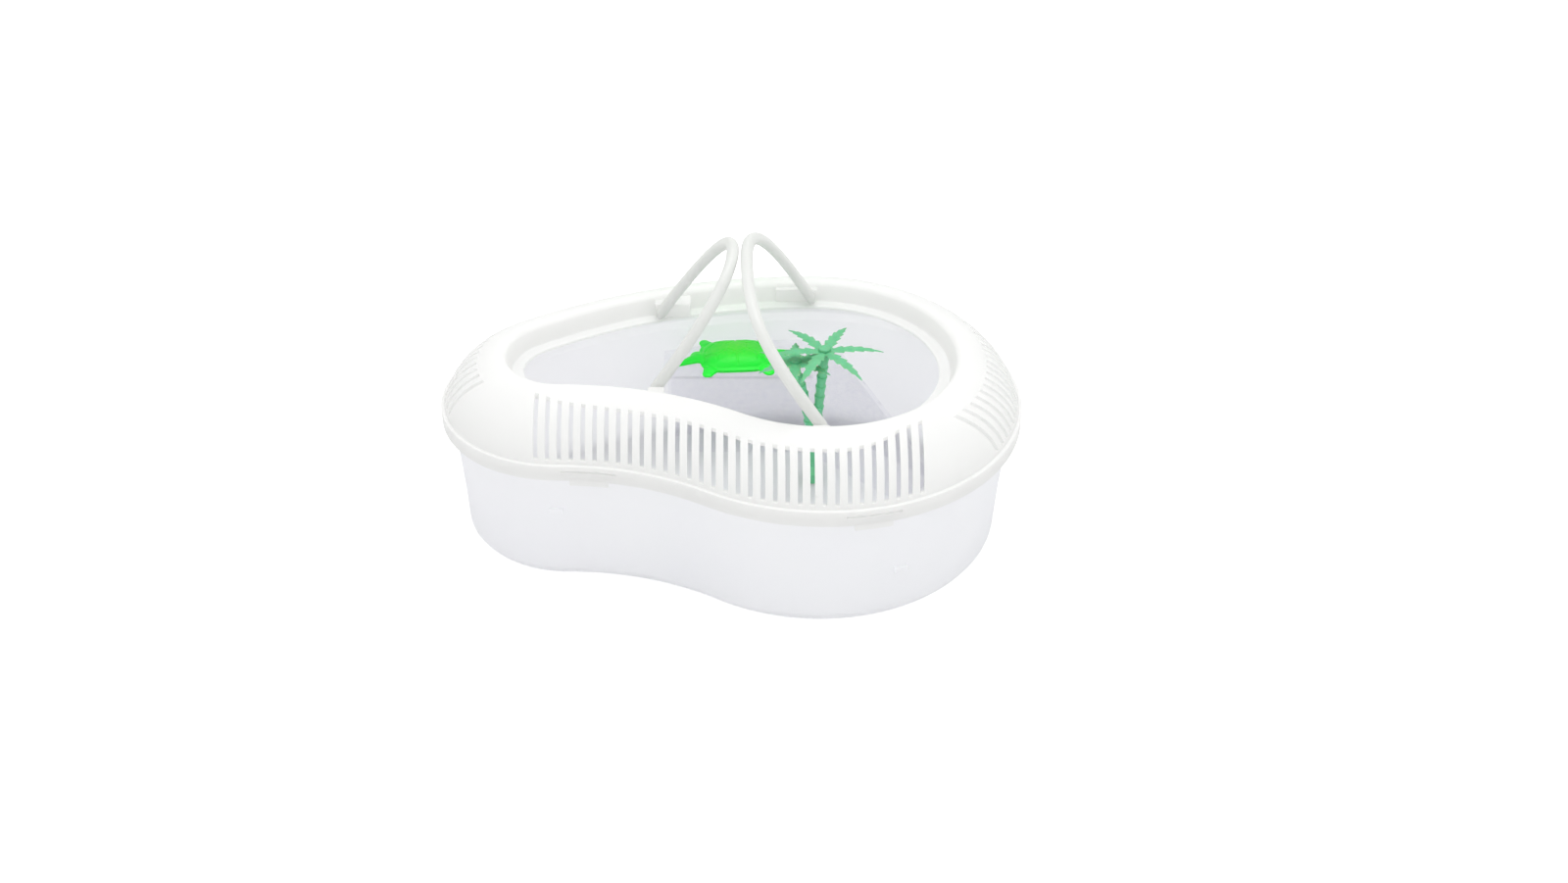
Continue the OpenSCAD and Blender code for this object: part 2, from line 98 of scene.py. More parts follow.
world = bpy.data.worlds.new("studio")
bpy.context.scene.world = world
world.use_nodes = True
world.node_tree.nodes.clear()
room = add_node(world.node_tree, "ShaderNodeBackground", Strength=1.32)
paper = add_node(world.node_tree, "ShaderNodeBackground", Strength=1.0,
                 Color=hex_colour("#ffffff"))
path = add_node(world.node_tree, "ShaderNodeLightPath")
seen = add_node(world.node_tree, "ShaderNodeMath", {0: path.outputs["Is Camera Ray"],
                                                    1: path.outputs["Is Glossy Ray"]},
                operation="MAXIMUM")
seen_through = add_node(world.node_tree, "ShaderNodeMath", {
    0: seen.outputs[0], 1: path.outputs["Is Transmission Ray"]}, operation="MAXIMUM")
backdrop = add_node(world.node_tree, "ShaderNodeMixShader", {
    0: seen_through.outputs[0], 1: room.outputs[0], 2: paper.outputs[0]})
add_node(world.node_tree, "ShaderNodeOutputWorld", {0: backdrop.outputs[0]})

LAMP_SIZE = 0.8
# Name, place and aim in metres, and watts.
LAMPS = [("lamp_top", (0.1, 0.1, 1.3), (0, 0, 0.05), 8),
         ("lamp_left", (-1.0, -0.9, 0.9), (0, 0, 0.08), 1.5),
         ("lamp_right", (1.1, -0.7, 0.8), (0, 0, 0.08), 1.5)]
for name, place, aim, watts in LAMPS:
    light = bpy.data.objects.new(name, bpy.data.lights.new(name, "AREA"))
    bpy.context.scene.collection.objects.link(light)
    light.data.size = LAMP_SIZE
    light.data.energy = watts
    light.location = place
    light.rotation_euler = (Vector(place) - Vector(aim)).to_track_quat("Z", "Y").to_euler()

# Tub: a kidney-shaped basin of translucent polypropylene, injection moulded, 2 mm thick, with
# a nearly upright side, a rounded foot and two small lugs. Its rim goes up inside the lid's
# skirt, and the lid's ledge lies on it.

# The plan is four tangent arcs round the big lobe, the back, the small lobe and the waist. A
# turn is the direction from an arc's centre in which it meets the big or small lobe.
WAIST_TURN = Vector((0.5376, 0.8432))
BACK_TURN = Vector((-0.6, 0.8))
# The keeper grows by this share of the lobes' spacing, because the small lobe is smaller.
SPACING_SHARE = 0.6875
WALL = 2.0
STATION_STEP = 3.0

lid_low, lid_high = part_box("lid")
BIG_R = (lid_high.y - lid_low.y) / 2 / MM
LOBE_SPACING = ((lid_high.x - lid_low.x) / MM - 2 * BIG_R) / SPACING_SHARE
LINK = LOBE_SPACING / WAIST_TURN.x
BACK_LINK = -LINK * WAIST_TURN.x / BACK_TURN.x
SMALL_R = BIG_R - (BACK_LINK * (1 - BACK_TURN.y) + LINK * (1 - WAIST_TURN.y)) / 2
BACK_R = SMALL_R + BACK_LINK
WAIST_R = LINK - BIG_R
BIG_C = Vector(((LOBE_SPACING + SMALL_R - BIG_R) / 2, 0))
WAIST_C = BIG_C - LINK * WAIST_TURN
BACK_C = BIG_C - Vector((0, BACK_R - BIG_R))
SMALL_C = WAIST_C + Vector((0, WAIST_R + SMALL_R))


def plan_stations():
    """Points of the lid's outline and their outward directions, once round its arcs."""
    waist_a = math.atan2(WAIST_TURN.y, WAIST_TURN.x)
    back_a = math.atan2(BACK_TURN.y, BACK_TURN.x)
    arcs = [(BIG_C, BIG_R, waist_a - math.pi, math.pi / 2, 1),
            (BACK_C, BACK_R, math.pi / 2, back_a, 1),
            (SMALL_C, SMALL_R, back_a, 1.5 * math.pi, 1),
            (WAIST_C, WAIST_R, math.pi / 2, waist_a, -1)]
    stations = []
    for centre, r, start, end, side in arcs:
        count = max(4, round(abs(end - start) * r / STATION_STEP))
        for i in range(count):
            a = start + (end - start) * i / count
            out = Vector((math.cos(a), math.sin(a)))
            stations.append((centre + r * out, side * out))
    return stations


STATIONS = plan_stations()


def arc_points(centre, r, start, end, count):
    """Points along an arc in a section, its angles in degrees."""
    turns = [math.radians(start + (end - start) * i / count) for i in range(count + 1)]
    return [(centre[0] + r * math.cos(t), centre[1] + r * math.sin(t)) for t in turns]


def round_corners(points, radii, count=4):
    """A section's outline with each corner rounded by its radius."""
    result = []
    for i, (p, r) in enumerate(zip(points, radii)):
        here = Vector(p)
        if r <= 0:
            result.append((here.x, here.y))
            continue
        before = (Vector(points[i - 1]) - here).normalized()
        after = (Vector(points[(i + 1) % len(points)]) - here).normalized()
        half = before.angle(after) / 2
        reach = r / math.tan(half)
        middle = here + (before + after).normalized() * r / math.sin(half)
        a, b = here + before * reach - middle, here + after * reach - middle
        for k in range(count + 1):
            v = a.lerp(b, k / count).normalized() * r
            result.append((middle.x + v.x, middle.y + v.y))
    return result


def new_object(name, mesh_builder):
    """An object whose mesh mesh_builder fills in millimetres, made metres here."""
    bm = bmesh.new()
    mesh_builder(bm)
    bmesh.ops.recalc_face_normals(bm, faces=bm.faces)
    bm.transform(Matrix.Scale(MM, 4))
    mesh = bpy.data.meshes.new(name)
    bm.to_mesh(mesh)
    bm.free()
    obj = bpy.data.objects.new(name, mesh)
    bpy.context.scene.collection.objects.link(obj)
    return obj


def shade(obj, sharp_over=40):
    """Smooth shading, with edges sharper than the angle kept crisp."""
    obj.data.polygons.foreach_set("use_smooth", [True] * len(obj.data.polygons))
    obj.data.set_sharp_from_angle(angle=math.radians(sharp_over))


def sweep_round_plan(bm, section, closed=True):
    """Carries a section round the plan. Its x is the distance outwards from the skirt."""
    rings = [[bm.verts.new((p.x + out.x * d, p.y + out.y * d, z)) for d, z in section]
             for p, out in STATIONS]
    span = len(section) if closed else len(section) - 1
    for a, b in zip(rings, rings[1:] + rings[:1]):
        for i in range(span):
            j = (i + 1) % len(section)
            bm.faces.new((a[i], b[i], b[j], a[j]))
    return rings


TUB_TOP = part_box("tub")[1].z / MM
NECK_OUT = -WALL - 0.3
NECK_Z = 74.2
SHOULDER_Z = 71.5
FOOT_OUT = -9.8
FOOT_R = 10.5
FLOOR_IN = 6
SIDE_LEAN = 3.8
SIDE_BOW = (0.45, 0.55)
SIDE_ROWS = 16
STEP_Z = 7.5
STEP_DEEP = 0.35


def tub_out(z):
    """Where the tub's wall lies at a height, outwards from the lid's skirt, so below zero."""
    share = (z - FOOT_R) / (SHOULDER_Z - FOOT_R)
    return FOOT_OUT + SIDE_LEAN * (SIDE_BOW[0] * share + SIDE_BOW[1] * share * share)


wall_heights = [FOOT_R + (SHOULDER_Z - FOOT_R) * i / SIDE_ROWS for i in range(SIDE_ROWS + 1)]
foot_c = (tub_out(FOOT_R) - FOOT_R, FOOT_R)
step_a = -math.degrees(math.asin((FOOT_R - STEP_Z) / FOOT_R))
floor_edge = foot_c[0] - FLOOR_IN
# The neck goes inside the lid's skirt, and a shoulder under it steps in to the wall. A fine
# step runs round the foot, where the tool's bottom insert meets its sides.
tub_section = (
    [(floor_edge, 0)] + arc_points(foot_c, FOOT_R, -90, step_a - 2, 12)
    + arc_points(foot_c, FOOT_R + STEP_DEEP, step_a, 0, 4)
    + [(tub_out(z) + STEP_DEEP * (1 - i / SIDE_ROWS), z)
       for i, z in enumerate(wall_heights)][1:-2]
    + round_corners([(tub_out(wall_heights[-2]), wall_heights[-2]),
                     (tub_out(SHOULDER_Z), SHOULDER_Z), (NECK_OUT, NECK_Z),
                     (NECK_OUT, TUB_TOP), (NECK_OUT - WALL, TUB_TOP),
                     (NECK_OUT - WALL, NECK_Z - 0.6),
                     (tub_out(SHOULDER_Z) - WALL, SHOULDER_Z - 1.4),
                     (tub_out(wall_heights[-3]) - WALL, wall_heights[-3])],
                    [0, 2.0, 0.6, 0.8, 0.8, 1.0, 2.5, 0])
    + [(tub_out(z) - WALL, z) for z in wall_heights[-4::-1]]
    + arc_points(foot_c, FOOT_R - WALL, 0, -90, 12)[1:]
    + [(floor_edge, WALL)])


def build_tub(bm):
    """The tub's section carried round, with its floor closed above and below."""
    rings = sweep_round_plan(bm, tub_section, closed=False)
    bm.faces.new([r[0] for r in rings])
    bm.faces.new([r[-1] for r in reversed(rings)])


def build_block(bm, size, place, turn=0.0):
    """A box that starts at x = 0 and z = 0, turned about Z and put at place."""
    made = bmesh.ops.create_cube(bm, size=1)["verts"]
    shift = Matrix.Translation((size[0] / 2, 0, size[2] / 2))
    scale = Matrix.Diagonal((*size, 1))
    bmesh.ops.transform(bm, verts=made, matrix=Matrix.Translation(place)
                        @ Matrix.Rotation(turn, 4, "Z") @ shift @ scale)


BEVEL_OVER = math.radians(30)


def bevel(obj, width, segments=3):
    """Rounds the sharp edges of a finished piece."""
    mod = obj.modifiers.new("rounded", "BEVEL")
    mod.width = width * MM
    mod.segments = segments
    mod.limit_method = "ANGLE"
    mod.angle_limit = BEVEL_OVER
    apply_modifiers(obj)


def apply_modifiers(obj):
    """Bakes the live modifiers into the mesh and removes them."""
    graph = bpy.context.evaluated_depsgraph_get()
    mesh = bpy.data.meshes.new_from_object(obj.evaluated_get(graph))
    obj.modifiers.clear()
    old = obj.data
    obj.data = mesh
    bpy.data.meshes.remove(old)
    mesh.name = obj.name


def cut_or_join(obj, other, operation, overlapping=False):
    """Cuts another mesh out of a piece, or joins it on, and removes the other object."""
    mod = obj.modifiers.new("boolean", "BOOLEAN")
    mod.use_self = overlapping
    mod.operation = operation
    mod.solver = "EXACT"
    mod.object = other
    apply_modifiers(obj)
    bpy.data.objects.remove(other)


def new_material(name):
    """A material and its node tree, still empty."""
    material = bpy.data.materials.new(name)
    material.use_nodes = True
    material.node_tree.nodes.clear()
    return material, material.node_tree


def two_tone(tree, share, low, high):
    """A colour that goes from low to high as another node's output goes from 0 to 1."""
    tint = add_node(tree, "ShaderNodeMix", {"Factor": share}, data_type="RGBA")
    tint.inputs[6].default_value = hex_colour(low)
    tint.inputs[7].default_value = hex_colour(high)
    return tint.outputs[2]


LUG_SUNK = 1
LUG = (LUG_SUNK + 1.5, 7.5, 3.5)
# Each lug's lobe, the lobe's radius, the direction from its centre, and the lug's height.
LUGS = [(SMALL_C, SMALL_R, -93, 48), (BIG_C, BIG_R, -67, 33)]
tub = new_object("tub_shell", build_tub)
for centre, r, a, z in LUGS:
    turn = math.radians(a)
    reach = r + tub_out(z) - LUG_SUNK
    foot = (centre.x + reach * math.cos(turn), centre.y + reach * math.sin(turn), z)
    lug_piece = new_object("lug", lambda bm: build_block(bm, LUG, foot, turn))
    bevel(lug_piece, 0.5)
    cut_or_join(tub, lug_piece, "UNION")

MOULDED_IOR = 1.49
tub_plastic, tree = new_material("moulded_translucent_polypropylene")
place = add_node(tree, "ShaderNodeTexCoord")
# Natural polypropylene is never quite even: its milkiness drifts over some 45 mm.
cloud = add_node(tree, "ShaderNodeTexNoise", {"Vector": place.outputs["Object"]},
                 Scale=22.0, Detail=2.0)
tint = two_tone(tree, cloud.outputs["Fac"], "#fafafc", "#fcfcfd")
# The tool's fine texture, about 0.8 mm from grain to grain, gives the soft sheen.
grain = add_node(tree, "ShaderNodeTexNoise", {"Vector": place.outputs["Object"]},
                 Scale=1250.0, Detail=1.0)
relief = add_node(tree, "ShaderNodeBump", {"Height": grain.outputs["Fac"]}, Strength=0.06,
                  Distance=0.0002)
gloss = add_node(tree, "ShaderNodeMapRange", {"Value": cloud.outputs["Fac"]}, To_Min=0.3,
                 To_Max=0.42)
shader = add_node(tree, "ShaderNodeBsdfPrincipled",
                  {"Base Color": tint, "Roughness": gloss.outputs[0],
                   "Normal": relief.outputs[0]}, IOR=MOULDED_IOR)
# Two thirds of the light goes through the thin wall, scattered, so the inside glows as well.
through = add_node(tree, "ShaderNodeBsdfTranslucent", {"Color": tint,
                                                       "Normal": relief.outputs[0]})
milk = add_node(tree, "ShaderNodeMixShader", {1: shader.outputs[0], 2: through.outputs[0]},
                Fac=0.68)
add_node(tree, "ShaderNodeOutputMaterial", {"Surface": milk.outputs[0]})
tub.data.materials.append(tub_plastic)
shade(tub)
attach(tub, "tub")
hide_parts("tub")

# Lid: milky white polypropylene, injection moulded, 2 mm thick. A skirt hangs over the rim,
# a slotted shoulder rises to the ridge, and a steep collar drops to the opening's lip.
LEDGE_Z = TUB_TOP + 0.1
LEDGE_TOP = LEDGE_Z + WALL
SKIRT_DROP = 9.4
RIDGE_TOP = lid_high.z / MM
RIDGE_SUNK = 1.5
SKIRT_Z = LEDGE_TOP - SKIRT_DROP
SHOULDER_R = 43
RIDGE_R = 4
RIDGE_IN = 35
OPENING_IN = 48
RIDGE_UP = 30.5
COLLAR_DROP = 13
LIP_Z = LEDGE_TOP + RIDGE_UP - COLLAR_DROP
LIP_W = 6.5
COLLAR_A = 172
SHOULDER_ROWS = 26
ridge_c = Vector((-RIDGE_IN, RIDGE_TOP - RIDGE_SUNK - RIDGE_R))
shoulder_foot = Vector((-WALL, LEDGE_TOP))
# The shoulder's arc starts at its foot and ends where it runs on into the ridge's arc.
span = ridge_c - shoulder_foot
arm = SHOULDER_R - RIDGE_R
turn = math.acos((span.length ** 2 + arm ** 2 - SHOULDER_R ** 2) / (2 * arm * span.length))
ridge_a = math.degrees(math.atan2(span.y, span.x) - turn)
shoulder_c = ridge_c - arm * Vector((math.cos(math.radians(ridge_a)),
                                     math.sin(math.radians(ridge_a))))
shoulder_a = math.degrees(math.atan2(shoulder_foot.y - shoulder_c.y,
                                     shoulder_foot.x - shoulder_c.x))
collar_foot = (-OPENING_IN + LIP_W, LIP_Z)
# The collar's two faces head for these points, where the ridge's arcs take over.
collar_top = (-40, RIDGE_TOP - 5)
collar_top_inner = (collar_top[0] + WALL, RIDGE_TOP - 5)
ledge_in = shoulder_foot.x - WALL * math.cos(math.radians(shoulder_a)) - 0.3
lid_section = (
    [(-0.4, SKIRT_Z), (0, SKIRT_Z + 0.6), (0, LEDGE_TOP - 0.7), (-0.2, LEDGE_TOP - 0.2),
     (-0.7, LEDGE_TOP)]
    + arc_points(shoulder_c, SHOULDER_R, shoulder_a, ridge_a, SHOULDER_ROWS)
    + arc_points(ridge_c, RIDGE_R, ridge_a, COLLAR_A, 12)[1:]
    + round_corners([collar_top, collar_foot, (-OPENING_IN, LIP_Z),
                     (-OPENING_IN, LIP_Z - WALL), (collar_foot[0] + WALL, LIP_Z - WALL),
                     collar_top_inner], [0, 0.8, 0.7, 0.7, 0, 0])[1:-1]
    + arc_points(ridge_c, RIDGE_R - WALL, COLLAR_A, ridge_a, 8)
    + arc_points(shoulder_c, SHOULDER_R - WALL, ridge_a, shoulder_a, SHOULDER_ROWS)[1:]
    + [(ledge_in, LEDGE_Z), (-WALL, LEDGE_Z), (-WALL, SKIRT_Z + 0.6), (-WALL + 0.3, SKIRT_Z)])


def build_lid(bm):
    """The lid's section carried round, still without slots, clips and bosses."""
    sweep_round_plan(bm, lid_section)


SLOT_W = 2.4
SLOT_PITCH = 6.35
SLOT_Z = LEDGE_TOP + 2
SLOT_IN = 22.2
SLOT_END_IN = 5
FRONT_MID_X = -3
FRONT_HALF = 60
FRONT_END = 40


def build_core(bm, inset, z, h, end_inset=0):
    """The filled plan drawn in by inset, and by more at its front's ends, as a block."""
    low = []
    for p, out in STATIONS:
        past = (abs(p.x - FRONT_MID_X) - FRONT_HALF) / FRONT_END
        share = min(1.1, max(0, past)) if out.y < 0 else 0
        d = inset + end_inset * share * share
        low.append(bm.verts.new((p.x - out.x * d, p.y - out.y * d, z)))
    face = bm.faces.new(low)
    made = bmesh.ops.extrude_face_region(bm, geom=[face])["geom"]
    bmesh.ops.translate(bm, vec=(0, 0, h),
                        verts=[v for v in made if isinstance(v, bmesh.types.BMVert)])


def slot_row_tree():
    """Geometry Nodes: a row of upright blocks, the tool's blades that leave the slots."""
    group = bpy.data.node_groups.new("slot_row", "GeometryNodeTree")
    face = group.interface
    for name, kind in (("Count", "NodeSocketInt"), ("First", "NodeSocketVector"),
                       ("Pitch", "NodeSocketVector"), ("Block", "NodeSocketVector"),
                       ("Material", "NodeSocketMaterial")):
        face.new_socket(name, in_out="INPUT", socket_type=kind)
    face.new_socket("Geometry", in_out="OUTPUT", socket_type="NodeSocketGeometry")
    given = add_node(group, "NodeGroupInput")
    line = add_node(group, "GeometryNodeMeshLine", {
        "Count": given.outputs["Count"], "Start Location": given.outputs["First"],
        "Offset": given.outputs["Pitch"]}, mode="OFFSET")
    block = add_node(group, "GeometryNodeMeshCube", {"Size": given.outputs["Block"]})
    placed = add_node(group, "GeometryNodeInstanceOnPoints", {
        "Points": line.outputs[0], "Instance": block.outputs[0]})
    real = add_node(group, "GeometryNodeRealizeInstances", {"Geometry": placed.outputs[0]})
    coat = add_node(group, "GeometryNodeSetMaterial", {
        "Geometry": real.outputs[0], "Material": given.outputs["Material"]})
    add_node(group, "NodeGroupOutput", {"Geometry": coat.outputs[0]})
    return group


def run_tree(obj, group, **values):
    """Sets a tree's inputs by their identifiers, runs it, and keeps the plain mesh."""
    mod = obj.modifiers.new(group.name, "NODES")
    mod.node_group = group
    for item in group.interface.items_tree:
        key = item.name.replace(" ", "_")
        if item.in_out == "INPUT" and key in values:
            mod[item.identifier] = values[key]
    obj.update_tag()
    apply_modifiers(obj)


lid_plastic, tree = new_material("moulded_milky_polypropylene")
slot_rows = slot_row_tree()
SMALL_MID_Y = -3
BLADE_H = 50
# Front and back, the big lobe's end, the small lobe's end: how many, the row's middle, its
# direction, a blade's size along X and Y, and how much further in the front's last slots reach.
rows = [(33, (FRONT_MID_X, 0), (1, 0), (SLOT_W, 300), SLOT_END_IN),
        (21, (BIG_C.x + 90, 0), (0, 1), (180, SLOT_W), 0),
        (9, (SMALL_C.x - 60, SMALL_MID_Y), (0, 1), (120, SLOT_W), 0)]
lid = new_object("lid_shell", build_lid)
for count, middle, along, block, more in rows:
    first = [m - a * (count - 1) / 2 * SLOT_PITCH for m, a in zip(middle, along)]
    tools = new_object("slot_tools", lambda bm: None)
    run_tree(tools, slot_rows, Count=count,
             First=[c * MM for c in (*first, SLOT_Z + BLADE_H / 2)],
             Pitch=[a * SLOT_PITCH * MM for a in (*along, 0)],
             Block=[c * MM for c in (*block, BLADE_H)], Material=lid_plastic)
    core = new_object("slot_core", lambda bm: build_core(bm, SLOT_IN, SLOT_Z - 10, 80, more))
    cut_or_join(tools, core, "DIFFERENCE")
    cut_or_join(lid, tools, "DIFFERENCE")

place = add_node(tree, "ShaderNodeTexCoord")
cloud = add_node(tree, "ShaderNodeTexNoise", {"Vector": place.outputs["Object"]}, Scale=14.0,
                 Detail=2.0)
tint = two_tone(tree, cloud.outputs["Fac"], "#f4f4f3", "#f7f7f6")
grain = add_node(tree, "ShaderNodeTexNoise", {"Vector": place.outputs["Object"]},
                 Scale=1250.0, Detail=1.0)
relief = add_node(tree, "ShaderNodeBump", {"Height": grain.outputs["Fac"]}, Strength=0.05,
                  Distance=0.0002)
gloss = add_node(tree, "ShaderNodeMapRange", {"Value": cloud.outputs["Fac"]}, To_Min=0.34,
                 To_Max=0.44)
shader = add_node(tree, "ShaderNodeBsdfPrincipled",
                  {"Base Color": tint, "Roughness": gloss.outputs[0],
                   "Normal": relief.outputs[0]}, IOR=MOULDED_IOR)
through = add_node(tree, "ShaderNodeBsdfTranslucent", {"Color": tint,
                                                       "Normal": relief.outputs[0]})
milk = add_node(tree, "ShaderNodeMixShader", {1: shader.outputs[0], 2: through.outputs[0]},
                Fac=0.6)
add_node(tree, "ShaderNodeOutputMaterial", {"Surface": milk.outputs[0]})
lid.data.materials.clear()
lid.data.materials.append(lid_plastic)
shade(lid)
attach(lid, "lid")
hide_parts("lid")

# Clips: two catches in the skirt's front. A slit above each lets its tab spring outwards
# over the tub's lug.
# A clip's arc: its centre, radius and direction, and -1 where the plan curves inwards.
CLIPS = [(WAIST_C, WAIST_R, 83.6, -1), (BIG_C, BIG_R, -77.5, 1)]
# A tab's width, thickness and drop, and a slit's width, height and rise over the skirt's edge.
TAB = (21, 1.1, 3)
SLIT = (30, 1.2, 5.2)
CLIP_ROWS = 24


def build_curved_block(bm, clip, width, deep, low, high):
    """A block that follows the skirt: width along the arc, from deep inwards, low to high."""
    centre, r, a, side = clip
    half = width / r / 2
    corners = ((deep[0], low), (deep[1], low), (deep[1], high), (deep[0], high))
    rings = []
    for i in range(CLIP_ROWS + 1):
        turn = math.radians(a) - half + width / r * i / CLIP_ROWS
        out = Vector((math.cos(turn), math.sin(turn)))
        rings.append([bm.verts.new((*(centre + out * (r + side * d)), z)) for d, z in corners])
    for a_ring, b_ring in zip(rings, rings[1:]):
        for i in range(4):
            bm.faces.new((a_ring[i], b_ring[i], b_ring[i - 3], a_ring[i - 3]))
    bm.faces.new(rings[0])
    bm.faces.new(rings[-1])


for clip in CLIPS:
    slit_tool = new_object("slit", lambda bm: build_curved_block(
        bm, clip, SLIT[0], (-WALL - 0.2, 1), SKIRT_Z + SLIT[2], SKIRT_Z + SLIT[2] + SLIT[1]))
    cut_or_join(lid, slit_tool, "DIFFERENCE")
    tab = new_object("tab", lambda bm: build_curved_block(
        bm, clip, TAB[0], (-TAB[1], -0.02), SKIRT_Z - TAB[2], SKIRT_Z + 1))
    bevel(tab, 0.3, 2)
    cut_or_join(lid, tab, "UNION")

# Handles: two flat bails of milky polypropylene, 7 x 6 mm with rounded edges. Each leans on
# the other at its crown, and its feet turn on pins in bosses that stand on the lid's lip.
BAR = (7, 6)
BAR_ROUND = 2.6
PIN_R = 2
PIN_OUT = 2.9
CREST_X = 4.5
CREST_GAP = 0.3
FOOT_GAP = 0.3
PIN_Z = LIP_Z + 5
BOSS_TOP = 3.4
BOSS_BACK = 12
BOSS_SUNK = 0.4
BOSS_HOLE = (3, 3.2)
PIN_SLACK = 0.07
# Where the pins' line lies, half of the feet's spacing, the crown's height, the way it leans
# along X, what bends its front and back sides, and each boss's ends from the pin along X.
HANDLES = {"handle_left": dict(at=(-41.5, 9.5), half=42, height=75, side=1,
                               front=(42, 31.5, 35), back=(42, 31.5, 34),
                               blocks=((-4, 17), (-4, 5))),
           "handle_right": dict(at=(47.5, 0), half=70, height=73, side=-1,
                                front=(74, 57, 66), back=(73, 42, 52),
                                blocks=((-21, 4), (-5, 4)))}
BAIL_ROWS = 60
END_ROWS = 8
THINNEST = 0.02
ROD_SIDES = 32


def bail_side(half, height, way, share):
    """Half of the bail's middle line: a curve from its foot, drawn by way's two spots."""
    spots = [Vector(p) for p in ((half, 0), (way[0], way[1]), (way[2], height), (0, height))]
    a, b, c = (spots[k].lerp(spots[k + 1], share) for k in range(3))
    along = (b.lerp(c, share) - a.lerp(b, share)).normalized()
    return a.lerp(b, share).lerp(b.lerp(c, share), share), Vector((along.y, -along.x))


def bail_path(half, height, front, back):
    """Points of the bail's middle line and their outward directions, foot to foot."""
    points = []
    for i in range(BAIL_ROWS + 1):
        p, out = bail_side(half, height, back, i / BAIL_ROWS)
        points.append(((p.x, p.y), (out.x, out.y)))
    for i in range(BAIL_ROWS - 1, -1, -1):
        p, out = bail_side(half, height, front, i / BAIL_ROWS)
        points.append(((-p.x, p.y), (-out.x, out.y)))
    return points


def bar_section():
    """The bar's section with rounded edges: places in the bail's plane and across it."""
    w, t = BAR[0] / 2, BAR[1] / 2
    return round_corners([(w, -t), (w, t), (-w, t), (-w, -t)], [BAR_ROUND] * 4, 6)


def skin(bm, rings):
    """Faces from ring to ring of points, and one over each end."""
    for a_ring, b_ring in zip(rings, rings[1:]):
        for i in range(len(a_ring)):
            bm.faces.new((a_ring[i - 1], a_ring[i], b_ring[i], b_ring[i - 1]))
    bm.faces.new(rings[0])
    bm.faces.new(rings[-1])


def build_bail(bm, half, height, front, back):
    """The bar carried along the bail's middle line, its feet rounded off under the pins."""
    path = bail_path(half, height, front, back)
    turns = [math.pi / 2 * i / END_ROWS for i in range(END_ROWS, 0, -1)]
    stations = [(path[0][0][0], -BAR[1] / 2 * math.sin(a), path[0][1], math.cos(a))
                for a in turns]
    stations += [(u, v, out, 1.0) for (u, v), out in path]
    stations += [(path[-1][0][0], -BAR[1] / 2 * math.sin(a), path[-1][1], math.cos(a))
                 for a in reversed(turns)]
    section = bar_section()
    rings = []
    for u, v, out, thick in stations:
        thick = max(thick, THINNEST)
        rings.append([bm.verts.new((t * thick, u + out[0] * w, v + out[1] * w))
                      for w, t in section])
    skin(bm, rings)


def add_ring(bm, middle, across, other, r, sides):
    """A ring of points round a middle, in the plane of two directions."""
    turns = [2 * math.pi * i / sides for i in range(sides)]
    return [bm.verts.new(middle + r * (across * math.cos(t) + other * math.sin(t)))
            for t in turns]


def build_rod(bm, radius, start, end, chamfer=0.3):
    """A round rod between two points with chamfered ends."""
    start, end = Vector(start), Vector(end)
    axis = (end - start).normalized()
    across = axis.orthogonal().normalized()
    other = axis.cross(across)
    spots = [(start, radius - chamfer), (start + axis * chamfer, radius),
             (end - axis * chamfer, radius), (end, radius - chamfer)]
    skin(bm, [add_ring(bm, p, across, other, r, ROD_SIDES) for p, r in spots])


CREST_ROUND = 2
bails = []
for name, made in HANDLES.items():
    bail = new_object(name + "_bail", lambda bm: build_bail(
        bm, made["half"], made["height"], made["front"], made["back"]))
    for side in (-1, 1):
        pin = new_object("pin", lambda bm: build_rod(
            bm, PIN_R, (0, side * made["half"], 0),
            (0, side * (made["half"] + BAR[0] / 2 + PIN_OUT), 0)))
        cut_or_join(bail, pin, "UNION")
    # The bail leans until its crown's rounded edge all but meets the other's.
    a = made["height"] + BAR[0] / 2 - CREST_ROUND
    b = BAR[1] / 2 - CREST_ROUND
    c = abs(CREST_X - made["at"][0]) - CREST_ROUND - CREST_GAP / 2
    lean = math.asin(c / math.hypot(a, b)) - math.atan2(b, a)
    bail.data.transform(Matrix.Translation((made["at"][0] * MM, made["at"][1] * MM, PIN_Z * MM))
                        @ Matrix.Rotation(made["side"] * lean, 4, "Y"))
    bails.append(bail)
    for side, block in zip((1, -1), made["blocks"]):
        foot_y = made["at"][1] + side * (made["half"] + BAR[0] / 2 + FOOT_GAP)
        size = (block[1] - block[0], BOSS_BACK, BOSS_TOP + PIN_Z - LIP_Z + BOSS_SUNK)
        middle = (made["at"][0] + block[0], foot_y + side * BOSS_BACK / 2, LIP_Z - BOSS_SUNK)
        boss = new_object("boss", lambda bm: build_block(bm, size, middle))
        bevel(boss, 0.8)
        core = new_object("boss_core", lambda bm: build_core(
            bm, RIDGE_IN + 3, LIP_Z - 10, 40))
        cut_or_join(boss, core, "INTERSECT")
        cut_or_join(lid, boss, "UNION")
        hole = new_object("hole", lambda bm: build_rod(
            bm, PIN_R + PIN_SLACK, (made["at"][0], foot_y - side * BOSS_HOLE[0], PIN_Z),
            (made["at"][0], foot_y + side * BOSS_HOLE[1], PIN_Z), chamfer=0.0001))
        cut_or_join(lid, hole, "DIFFERENCE")

# The cuts leave a few of the lid's points a hair apart, which opens a seam, so they are made
# one here, after the last cut.
WELD_REACH = 0.001
lid_mesh = bmesh.new()
lid_mesh.from_mesh(lid.data)
bmesh.ops.remove_doubles(lid_mesh, verts=lid_mesh.verts, dist=WELD_REACH * MM)
lid_mesh.to_mesh(lid.data)
lid_mesh.free()

